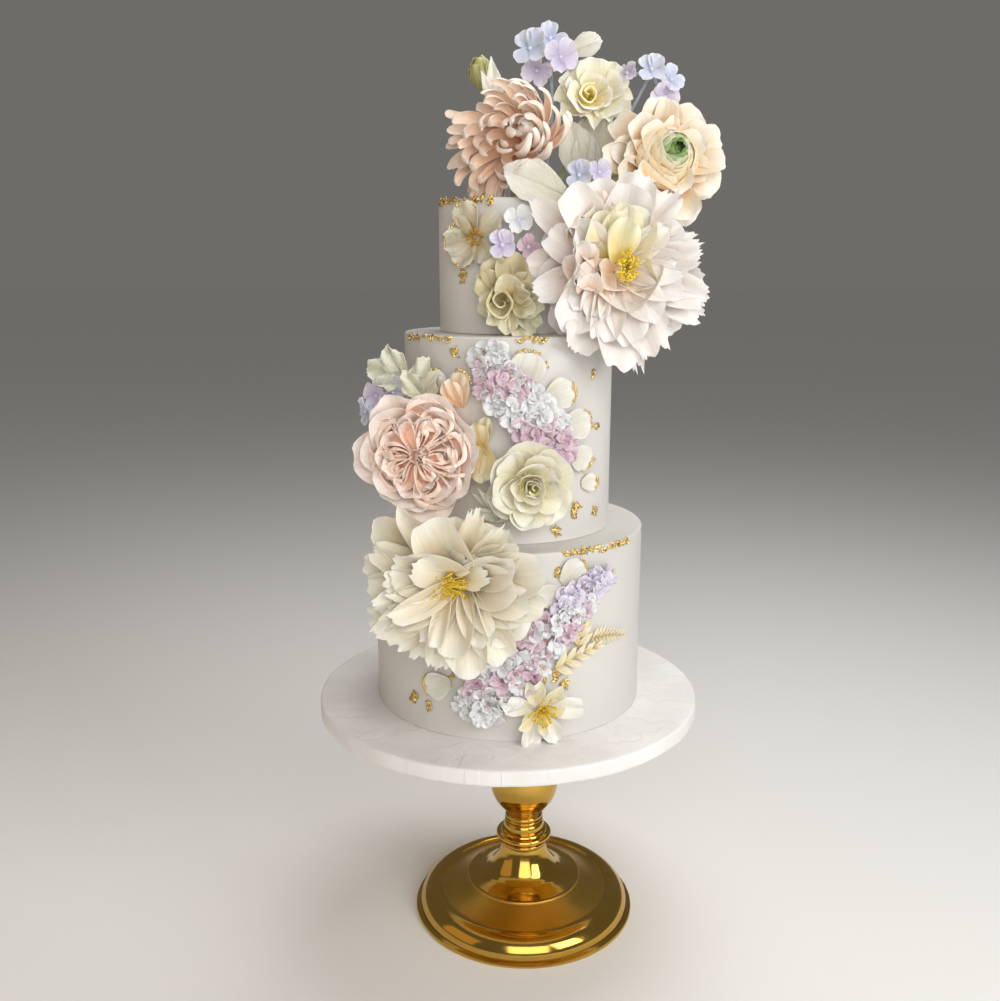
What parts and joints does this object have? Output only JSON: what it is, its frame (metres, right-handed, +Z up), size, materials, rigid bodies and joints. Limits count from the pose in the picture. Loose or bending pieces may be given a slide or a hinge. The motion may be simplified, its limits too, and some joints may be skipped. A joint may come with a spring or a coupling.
{
  "type": "tiered wedding cake on a stand",
  "caption": "Tiered iced wedding cake with sugar flowers, pressed florets and gold leaf, on an iced board and a turned metal pedestal stand.",
  "frame": {"origin": "on the ground under the common axis of the tiers, in the plane of the foot's underside", "axes": "+Z up, the front with the flowers faces -Y, +X to the right seen from the front"},
  "size_m": [0.3107, 0.3132, 0.7167],
  "materials": {
    "icing": "smooth satin sugar paste with flecks of leaf metal",
    "board_icing": "smooth rolled sugar paste on a drum board",
    "stand_metal": "polished gold coloured metal",
    "petal_blush": "matte sugar petals, blush white with a pale yellow heart",
    "petal_ivory": "matte sugar petals, ivory with a gold heart",
    "petal_peach": "matte sugar petals, peach",
    "petal_apricot": "matte sugar petals, cream to apricot",
    "petal_lemon": "matte sugar petals, pale green yellow",
    "petal_cream": "thin pressed petals with gilt edges",
    "leaf_sage": "matte veined sugar leaves, pale sage",
    "petal_sky": "matte sugar florets, pale blue and lilac",
    "petal_lilac": "matte sugar florets, white, pale blue and lilac"
  },
  "bodies": {
    "root": {"stand_foot": "stand_metal", "stand_stem": "stand_metal", "stand_plate": "stand_metal", "cake_board": "board_icing", "tier_bottom": "icing", "tier_middle": "icing", "tier_top": "icing", "peony_upper": "petal_blush", "peony_lower": "petal_ivory", "rose_peach": "petal_peach", "chrysanthemum": "petal_peach", "ranunculus": "petal_apricot", "rose_lemon": "petal_lemon", "rose_small": "petal_lemon", "blossom_lemon": "petal_lemon", "lily": "petal_cream", "blossom_pressed": "petal_cream", "bud_olive": "leaf_sage", "petal_gilt_1": "petal_cream", "petal_gilt_2": "petal_cream", "petal_gilt_3": "petal_cream", "petal_gilt_4": "petal_cream", "petal_gilt_5": "petal_cream", "petal_gilt_6": "petal_cream", "petal_cream_side": "petal_cream", "petal_peach_side": "petal_cream", "petal_straw": "petal_cream", "petal_rim_1": "petal_cream", "petal_rim_2": "petal_cream", "petal_low": "petal_cream", "petal_under": "petal_cream", "leaf_gilt": "petal_cream", "leaf_plume": "petal_cream", "fern_gilt": "petal_cream", "leaf_lance_1": "leaf_sage", "leaf_lance_2": "leaf_sage", "leaf_ruffled_left": "leaf_sage", "leaf_ruffled_right": "leaf_sage", "leaf_veined_back": "leaf_sage", "leaf_veined_left": "leaf_sage", "leaf_crown": "leaf_sage", "petal_upright": "petal_cream", "hydrangea_crown": "petal_sky", "hydrangea_right": "petal_sky", "hydrangea_front": "petal_sky", "hydrangea_lilac": "petal_lilac", "hydrangea_side": "petal_sky", "drift_middle": "petal_lilac", "drift_bottom": "petal_lilac"}
  },
  "joints": []
}
